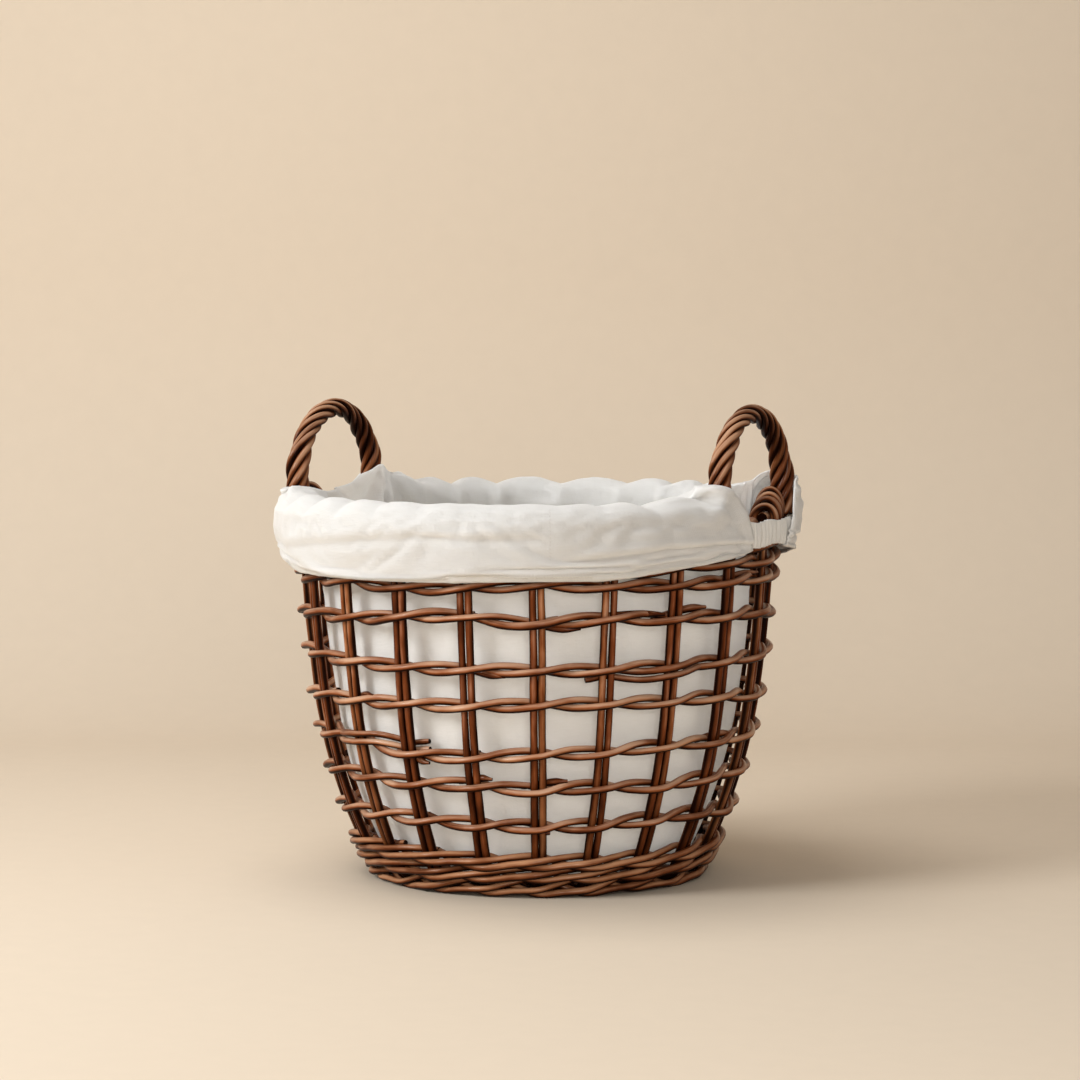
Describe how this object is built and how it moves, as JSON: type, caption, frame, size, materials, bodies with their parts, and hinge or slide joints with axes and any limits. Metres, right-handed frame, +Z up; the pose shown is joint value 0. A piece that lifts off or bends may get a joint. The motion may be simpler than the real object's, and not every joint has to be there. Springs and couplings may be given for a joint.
{
  "type": "woven laundry basket",
  "caption": "Round open-weave willow laundry basket with rope-wrapped end handles and a lift-out cotton liner whose cuff folds over the rim.",
  "frame": {"origin": "middle of the circle that the basket stands on, on the floor", "axes": "+Z up along the basket's axis, +X towards the right handle"},
  "size_m": [0.5194, 0.5194, 0.4651],
  "materials": {
    "stake_willow": "stained and lacquered willow",
    "weaver_willow": "stained and lacquered willow",
    "base_willow": "stained and lacquered willow",
    "handle_willow": "stained and lacquered willow",
    "liner_cotton": "plain woven off-white cotton"
  },
  "bodies": {
    "basket": {"stake_pair_01": "stake_willow", "stake_pair_02": "stake_willow", "stake_pair_03": "stake_willow", "stake_pair_04": "stake_willow", "stake_pair_05": "stake_willow", "stake_pair_06": "stake_willow", "stake_pair_07": "stake_willow", "stake_pair_08": "stake_willow", "stake_pair_09": "stake_willow", "stake_pair_10": "stake_willow", "stake_pair_11": "stake_willow", "stake_pair_12": "stake_willow", "stake_pair_13": "stake_willow", "stake_pair_14": "stake_willow", "stake_pair_15": "stake_willow", "stake_pair_16": "stake_willow", "stake_pair_17": "stake_willow", "stake_pair_18": "stake_willow", "stake_pair_19": "stake_willow", "stake_pair_20": "stake_willow", "pierced_base_sticks": "base_willow", "threaded_base_sticks": "base_willow", "base_weave": "base_willow", "heel_wale": "weaver_willow", "lower_wale": "weaver_willow", "upper_wale": "weaver_willow", "twined_row_1": "weaver_willow", "twined_row_2": "weaver_willow", "twined_row_3": "weaver_willow", "twined_row_4": "weaver_willow", "twined_row_5": "weaver_willow", "twined_row_6": "weaver_willow", "twined_row_7": "weaver_willow", "twined_row_8": "weaver_willow", "twined_row_9": "weaver_willow", "border": "weaver_willow", "right_handle_core": "handle_willow", "right_handle_wrap": "handle_willow", "left_handle_core": "handle_willow", "left_handle_wrap": "handle_willow"},
    "liner": {"liner_bottom": "liner_cotton", "liner_wall": "liner_cotton", "liner_front_cuff": "liner_cotton", "liner_back_cuff": "liner_cotton", "liner_right_slot_band": "liner_cotton", "liner_left_slot_band": "liner_cotton"}
  },
  "joints": [
    {"name": "liner_lift", "type": "slide", "parent": "basket", "child": "liner", "axis": [0, 0, 1], "range_m": [0, 0.46]}
  ]
}
